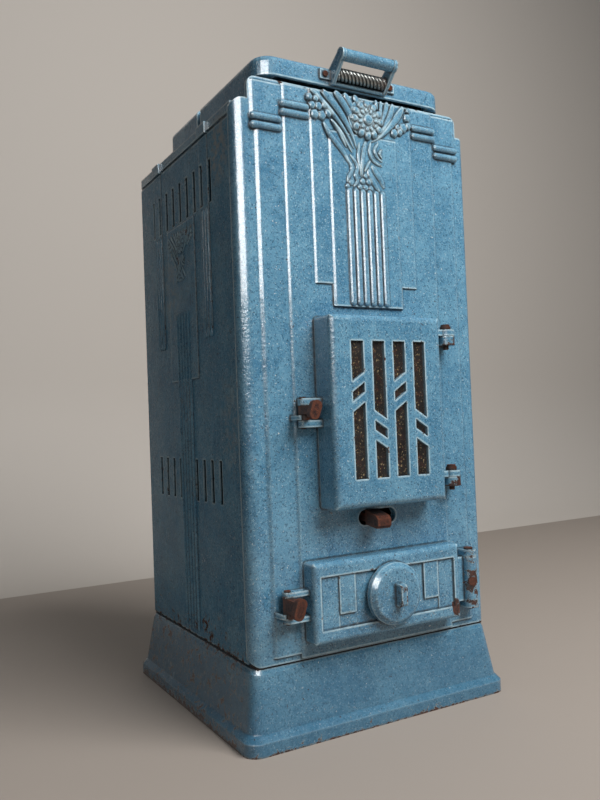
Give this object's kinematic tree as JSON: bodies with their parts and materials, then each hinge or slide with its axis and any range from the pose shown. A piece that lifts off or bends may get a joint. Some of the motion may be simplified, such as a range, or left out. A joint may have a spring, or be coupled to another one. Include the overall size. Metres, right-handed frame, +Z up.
{
  "type": "solid-fuel stove",
  "caption": "Upright blue-enamelled cast-iron room stove with a slotted fire door, ash door with air wheel, shaker grate and lift-up loading lid.",
  "frame": {"origin": "on the floor, under the middle of the stove's overall box", "axes": "+X to the right along the front, +Y to the back, +Z up; the front with the doors faces -Y"},
  "size_m": [0.436, 0.525, 0.938],
  "materials": {
    "blue_enamel": "glossy vitreous enamel, chipped and rust-stained",
    "bare_iron": "sooty unpainted casting",
    "rusted_iron": "rusted",
    "worn_steel": "worn and spotted with rust",
    "fireclay": "matt fireclay",
    "smoked_mica": "smoke-browned mica sheet"
  },
  "bodies": {
    "stove": {"plinth": "blue_enamel", "base_plate": "bare_iron", "front_casting": "blue_enamel", "left_side_panel": "blue_enamel", "right_side_panel": "blue_enamel", "back_panel": "blue_enamel", "top_plate": "blue_enamel", "rear_cover": "blue_enamel", "lid_hinge_pins": "worn_steel", "fire_door_pins": "rusted_iron", "ash_door_pin": "rusted_iron", "grate_frame": "bare_iron", "fire_casing": "bare_iron", "left_firebrick": "fireclay", "right_firebrick": "fireclay", "rear_firebrick": "fireclay", "flue_baffle": "bare_iron", "ash_pan": "rusted_iron", "flue_collar": "bare_iron", "collar_bolts": "rusted_iron", "tie_rods": "worn_steel", "tie_rod_nuts": "rusted_iron"},
    "loading_lid": {"loading_lid": "blue_enamel", "lid_handle": "blue_enamel", "handle_coil": "worn_steel", "lid_handle_screws": "rusted_iron"},
    "fire_door": {"fire_door": "blue_enamel", "window_frame": "bare_iron", "mica_pane": "smoked_mica", "window_screws": "rusted_iron", "fire_latch_pin": "rusted_iron"},
    "fire_latch": {"fire_door_latch": "rusted_iron"},
    "ash_door": {"ash_door": "blue_enamel", "ash_hinge_screw": "rusted_iron", "ash_latch_pin": "rusted_iron", "air_wheel_spindle": "worn_steel"},
    "ash_latch": {"ash_door_latch": "rusted_iron"},
    "air_wheel": {"air_wheel": "blue_enamel"},
    "shaker_grate": {"shaker_grate": "rusted_iron"}
  },
  "joints": [
    {"name": "fire_door_hinge", "type": "hinge", "parent": "stove", "child": "fire_door", "pos_m": [0.125, -0.222, 0.44], "axis": [0, 0, 1], "range_deg": [0, 110]},
    {"name": "fire_latch_turn", "type": "hinge", "parent": "fire_door", "child": "fire_latch", "pos_m": [-0.12, -0.2145, 0.434], "axis": [0, 0, 1], "range_deg": [-50, 0]},
    {"name": "ash_door_hinge", "type": "hinge", "parent": "stove", "child": "ash_door", "pos_m": [0.156, -0.216, 0.18], "axis": [0, 0, 1], "range_deg": [0, 110]},
    {"name": "ash_latch_turn", "type": "hinge", "parent": "ash_door", "child": "ash_latch", "pos_m": [-0.1535, -0.214, 0.181], "axis": [0, 0, 1], "range_deg": [-50, 0]},
    {"name": "air_wheel_spin", "type": "hinge", "parent": "ash_door", "child": "air_wheel", "pos_m": [0, -0.24, 0.1825], "axis": [0, -1, 0], "continuous": true},
    {"name": "lid_hinge", "type": "hinge", "parent": "stove", "child": "loading_lid", "pos_m": [0, 0.005, 0.9135], "axis": [-1, 0, 0], "range_deg": [0, 90]},
    {"name": "grate_shake", "type": "hinge", "parent": "stove", "child": "shaker_grate", "pos_m": [0, -0.041, 0.28], "axis": [0, 0, 1], "range_deg": [-3, 11]}
  ]
}
